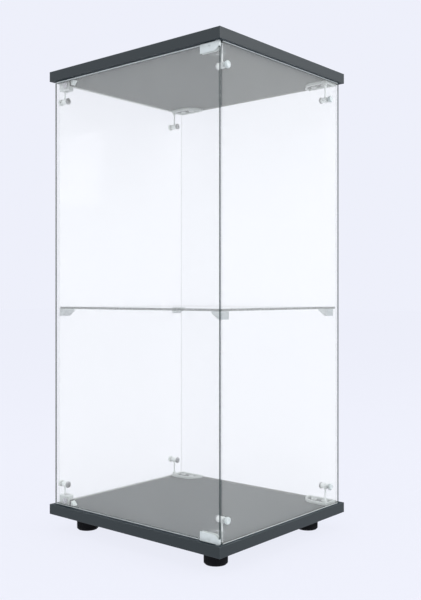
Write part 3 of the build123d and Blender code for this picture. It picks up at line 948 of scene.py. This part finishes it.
# %% [markdown]
# A screw head needs its cross recess. The recess is cut once into a pattern by a Boolean modifier,
# with a cutter that tapers towards its point, and the copies come after.

# %% Cross recess
CUTTER_ABOVE = 0.3 * MM         # how far the cutter starts above the head
CUTTER_TIP = 0.45               # the cutter's tip, as a share of its reach at the head


def cross_cutter(reach, width, depth, top):
    """Two crossed wedges that point down from just above top."""
    shape = bmesh.new()
    mouth = 1.0 + CUTTER_ABOVE / depth * 0.5
    for turn in (0.0, math.pi / 2):
        spin = Matrix.Rotation(turn, 4, "Z")
        corners = []
        for share, height in ((CUTTER_TIP, top - depth), (mouth, top + CUTTER_ABOVE)):
            for x, y in ((-1, -1), (1, -1), (1, 1), (-1, 1)):
                place = Vector((x * reach * share, y * width / 2 * min(share, 1.0), height))
                corners.append(shape.verts.new(spin @ place))
        for ids in ((0, 1, 2, 3), (4, 5, 6, 7), (0, 1, 5, 4), (1, 2, 6, 5), (2, 3, 7, 6), (3, 0, 4, 7)):
            shape.faces.new([corners[i] for i in ids])
    return closed_mesh("cross_cutter", shape, outwards=True)


def with_recess(name, profile, reach, width, depth):
    """A turned screw with a cross recess in its head, which is the profile's top."""
    top = max(z for r, z in profile) * MM
    cutter = pattern_object("cutter", cross_cutter(reach * MM, width * MM, depth * MM, top))

    def cut(holder):
        boolean = holder.modifiers.new("recess", "BOOLEAN")
        boolean.operation = "DIFFERENCE"
        boolean.solver = "EXACT"
        boolean.use_self = True
        boolean.object = cutter
    mesh = evaluated(turned(name, profile), cut)
    bpy.data.objects.remove(cutter)
    return mesh


# %% Clamp screws
GLASS_THICK = round((high("left_side_glass").x - low("left_side_glass").x) / MM, 2)
SHANK_LONG = BARREL_LONG + GLASS_THICK + WASHER_THICK + KNOB_SEAT
CLAMP_SCREW_PROFILE = [(0.0, -SHANK_LONG), (1.7, -SHANK_LONG), (2.0, 0.4 - SHANK_LONG), (2.0, 0.0),
                       (5.4, 0.0), (5.8, 0.35), (5.8, 1.5), (5.4, 2.2), (4.4, 2.75), (3.0, 3.0),
                       (0.0, 3.0)]
clamp_screw_mesh = with_recess("clamp_screw", CLAMP_SCREW_PROFILE, reach=3.4, width=1.3, depth=1.8)
set_copies("clamp_screws_set", clamp_screw_mesh, clamp_marks(PANE_IN, INWARD, BARREL_LONG * MM),
           "case", DARK_STEEL, ["clamp_screws"])

# %% [markdown]
# Wood screws hold the brackets to the boards. Their places are read back from the loose solids of
# the frame's screw piece: each solid's own box gives one screw.

# %% Reading separate solids out of one frame piece
def solid_boxes(node):
    """(low, high) of each separate solid in a frame piece."""
    shape = welded_shape(node)
    left = set(shape.verts)
    boxes = []
    while left:
        group = {left.pop()}
        to_visit = list(group)
        while to_visit:
            vertex = to_visit.pop()
            for edge in vertex.link_edges:
                other = edge.other_vert(vertex)
                if other in left:
                    left.remove(other)
                    group.add(other)
                    to_visit.append(other)
        places = [vertex.co.copy() for vertex in group]
        boxes.append((Vector([min(p[i] for p in places) for i in range(3)]),
                      Vector([max(p[i] for p in places) for i in range(3)])))
    shape.free()
    return sorted(boxes, key=lambda box: tuple(round(v, 5) for v in box[0]))


def is_top(box):
    return (box[0].z + box[1].z) / 2 > CASE_MIDDLE.z


# %% Bracket screws
screw_boxes = solid_boxes("bracket_screws")
SCREW_LONG = min(box[1].z - box[0].z for box in screw_boxes) / MM
WOOD_SCREW_PROFILE = [(0.0, -22.0), (0.6, -21.2), (1.8, -18.6), (1.8, -2.4), (2.6, -1.7),
                      (3.5, -0.35), (3.55, -0.12), (3.4, 0.0), (0.0, 0.0)]
screw_marks = []
for screw_low, screw_high in screw_boxes:
    top = is_top((screw_low, screw_high))
    centre = (screw_low + screw_high) / 2
    head_z = screw_low.z if top else screw_high.z
    screw_marks.append((Vector((centre.x, centre.y, head_z)), (math.pi if top else 0.0, 0.0, 0.0)))
print("bracket screws", len(screw_marks), "each", round(SCREW_LONG, 1), "mm long")
wood_screw_mesh = with_recess("wood_screw", [(r, max(z, -SCREW_LONG)) for r, z in WOOD_SCREW_PROFILE],
                              reach=2.2, width=0.9, depth=1.2)
set_copies("bracket_wood_screws", wood_screw_mesh, screw_marks, "case", DARK_STEEL,
           ["bracket_screws"])

# %% [markdown]
# ## Stems
# A stem is a thin rod from a bracket up to its clamp. It follows a line, so a second tree turns
# each line into a rod and thickens both ends into collars.

# %% The tree that makes rods with collars
PAST_ANY_END = 10.0             # a trim length longer than any rod


def make_rod_tree():
    tree, given, result = new_tree("GeometryNodeTree", "rods with collars", [
        GEOMETRY_IN,
        ("Rod Radius", "NodeSocketFloat", 0.0015),
        ("Collar Radius", "NodeSocketFloat", 0.0023),
        ("Collar Length", "NodeSocketFloat", 0.002),
        ("Sides", "NodeSocketInt", 20),
        ("Finish", "NodeSocketMaterial", None),
    ], GEOMETRY_OUT)
    lines = add_node(tree, "GeometryNodeMeshToCurve", Mesh=given["Geometry"]).outputs[0]
    together = add_node(tree, "GeometryNodeJoinGeometry")

    def tube(curve, radius):
        ring = add_node(tree, "GeometryNodeCurvePrimitiveCircle", Resolution=given["Sides"],
                        Radius=radius)
        skin = add_node(tree, "GeometryNodeCurveToMesh", Fill_Caps=True, Curve=curve,
                        Profile_Curve=ring.outputs["Curve"])
        feed(tree, together.inputs["Geometry"], skin.outputs[0])

    tube(lines, given["Rod Radius"])
    length = add_node(tree, "GeometryNodeSplineLength").outputs["Length"]
    last_collar = maths(tree, "SUBTRACT", length, given["Collar Length"])
    for start, end in ((0.0, given["Collar Length"]), (last_collar, PAST_ANY_END)):
        trim = add_node(tree, "GeometryNodeTrimCurve", Curve=lines)
        trim.mode = "LENGTH"
        lengths = [s for s in trim.inputs if s.type == "VALUE" and s.enabled]
        feed(tree, lengths[0], start)
        feed(tree, lengths[1], end)
        tube(trim.outputs[0], given["Collar Radius"])
    end_tree(tree, together.outputs[0], given["Finish"], result)
    return tree


RODS = make_rod_tree()


# %% Rods along lines
def rods_along(name, body, lines, material, replaced, radius, collar, collar_long, sides, smooth):
    """One piece of rods. Each line is its two end points; smooth is an angle in degrees."""
    mesh = bpy.data.meshes.new(name + "_lines")
    mesh.from_pydata([tuple(end) for line in lines for end in line],
                     [(2 * i, 2 * i + 1) for i in range(len(lines))], [])
    made = run_tree(RODS, mesh, {
        "Rod Radius": radius, "Collar Radius": collar, "Collar Length": collar_long,
        "Sides": sides, "Finish": material})
    smooth_by_angle(made, smooth)
    return new_piece(name, made, body, replaced)


# %% Stems
STEM_SOCKET = 6.0 * MM          # how deep a back stem stands in its plate's boss
stem_lines = []
for stem_low, stem_high in solid_boxes("bracket_stems"):
    centre = (stem_low + stem_high) / 2
    in_block = centre.y < 0         # the front stems run on down through their clear blocks
    if is_top((stem_low, stem_high)):
        foot_z, tip_z = (ROOF_Z if in_block else stem_high.z - STEM_SOCKET), stem_low.z
    else:
        foot_z, tip_z = (DECK_Z if in_block else stem_low.z + STEM_SOCKET), stem_high.z
    stem_lines.append((Vector((centre.x, centre.y, foot_z)), Vector((centre.x, centre.y, tip_z))))
rods_along("bracket_stem_rods", "case", stem_lines, STEM_PLASTIC, ["bracket_stems"],
           radius=1.5 * MM, collar=2.1 * MM, collar_long=1.6 * MM, sides=20, smooth=38)

# %% [markdown]
# ## Painted shade beside the catches
# Beside each catch block stands a near-black plate that is painted shade for the shadowed gap
# beside the block, propped by a small pale wedge. Both are a side outline pushed out to a depth,
# and a Bevel softens their corners.

# %% Pushing out an outline
def pushed_out(outline, y_start, depth):
    """A closed solid from an outline of (x, z) points, deep along +Y."""
    shape = bmesh.new()
    near, far = [[shape.verts.new((x, y, z)) for x, z in outline] for y in (y_start, y_start + depth)]
    for i in range(len(outline)):
        j = (i + 1) % len(outline)
        shape.faces.new((near[i], near[j], far[j], far[i]))
    shape.faces.new(near)
    shape.faces.new(far)
    return closed_mesh("pushed_out", shape, outwards=True)


# %% Painted shade plates and wedges
SHADE_PLATE_THICK, SHADE_PLATE_TALL, SHADE_PLATE_DEEP = 2.4 * MM, 10.0 * MM, 9.0 * MM
SHADE_PLATE_OUTER_SHARE = 0.8        # the plate's far side, as a share of its height
WEDGE_LONG, WEDGE_TALL = 9.0 * MM, 8.5 * MM
WEDGE_TOE, WEDGE_CROWN = 1.2 * MM, 1.5 * MM
LEVEL_FACES = (("bottom", 1, DECK_Z), ("top", -1, ROOF_Z))      # level, way into the case, face

for level, up, face_z in LEVEL_FACES:
    bracket = f"{level}_bracket_front_left"
    shade_plate_x = high(bracket).x
    wedge_x = shade_plate_x + SHADE_PLATE_THICK
    deep_start = middle(bracket).y - SHADE_PLATE_DEEP / 2
    # This plate is painted shade: a near-black piece standing for the shadowed gap beside the catch
    # block.
    shade_plate = pushed_out([(shade_plate_x, face_z), (wedge_x, face_z),
                         (wedge_x, face_z + up * SHADE_PLATE_TALL * SHADE_PLATE_OUTER_SHARE),
                         (shade_plate_x, face_z + up * SHADE_PLATE_TALL)], deep_start, SHADE_PLATE_DEEP)
    new_piece(f"catch_keeper_{level}", rounded(shade_plate, SHADE_PLATE_BLACK, 0.5 * MM, 3, 30), "case")
    wedge = pushed_out([(wedge_x, face_z), (wedge_x + WEDGE_LONG, face_z),
                        (wedge_x + WEDGE_LONG, face_z + up * WEDGE_TOE),
                        (wedge_x + WEDGE_CROWN, face_z + up * WEDGE_TALL)], deep_start, SHADE_PLATE_DEEP)
    new_piece(f"catch_wedge_{level}", rounded(wedge, WHITE_PLASTIC, 0.6 * MM, 3, 30), "case")

# %% [markdown]
# ## Glazing beads
# A thin clear bead seals each side pane where it stands in its board, and the door carries a soft
# strip along its top and bottom edges. Both show as a fine pale line beside the boards; their pale
# tone is partly a painted highlight, set bright so that beads in shade still read as that line.
# They follow lines too, so the rod tree makes them, with collars that hardly stand out.

# %% Glazing beads
BEAD_RADIUS = {"bottom": 0.48 * MM, "top": 0.62 * MM}
STRIP_RADIUS = {"bottom": 0.45 * MM, "top": 0.9 * MM}
BEAD_OUT = 0.4 * MM             # from the glass and from the board to the middle of a bead
STRIP_SUNK = 0.15 * MM          # how far a strip reaches over the door's edge
END_GAP = 1.0 * MM              # a bead or strip stops this far short of a corner


def beads(name, body, lines, radius):
    """Round beads along straight lines."""
    return rods_along(name, body, lines, BEAD_AND_HIGHLIGHT_PLASTIC, (), radius=radius, collar=radius * 1.04,
                      collar_long=1.0 * MM, sides=12, smooth=50)


strip_left, strip_right = low("door_glass").x + END_GAP, low("door_shoe_bottom").x - END_GAP
for level, up, face_z in LEVEL_FACES:
    lines = []
    for side in SIDES:
        pane = f"{side}_side_glass"
        bead_x = PANE_OUT[side] + (BEAD_OUT if side == "right" else -BEAD_OUT)
        lines.append([Vector((bead_x, y, face_z + up * BEAD_OUT))
                      for y in (low(pane).y + END_GAP, high(pane).y - END_GAP)])
    beads(f"glazing_beads_{level}", "case", lines, BEAD_RADIUS[level])

    radius = STRIP_RADIUS[level]
    door_end = (low if level == "bottom" else high)("door_glass").z
    strip_y = low("door_glass").y + radius
    strip_z = door_end - up * (radius - STRIP_SUNK)
    beads(f"door_strip_{level}", "door",
          [[Vector((x, strip_y, strip_z)) for x in (strip_left, strip_right)]], radius)

# %% [markdown]
# ## Feet
# The four feet are black moulded cylinders that flare very slightly, with a chamfer at the floor and
# fine upright ribs for grip when they are turned.

# %% Feet
FEET = [f"foot_{end}_{side}" for end in ENDS for side in SIDES]
FOOT_PROFILE = [(2.5, 3.0), (17.6, 3.0), (17.6, 1.5), (18.6, 1.5), (19.3, 1.8), (19.6, 2.5),
                (19.6, 5.2), (19.2, 5.8), (19.2, 24.6), (19.6, 25.2), (20.0, 26.0), (20.0, 27.4),
                (19.6, 28.0), (2.5, 28.0)]
foot_marks = [(Vector((middle(foot).x, middle(foot).y, 0.0)), (0.0, 0.0, 0.0)) for foot in FEET]
set_copies("feet_ribbed", turned("foot", FOOT_PROFILE, steps=64), foot_marks, "case",
           FOOT_PLASTIC, FEET,
           Rib_Count=60, Rib_Circle=19.1 * MM, Rib_Thickness=0.55 * MM, Rib_Length=18.2 * MM,
           Rib_Rise=15.2 * MM)
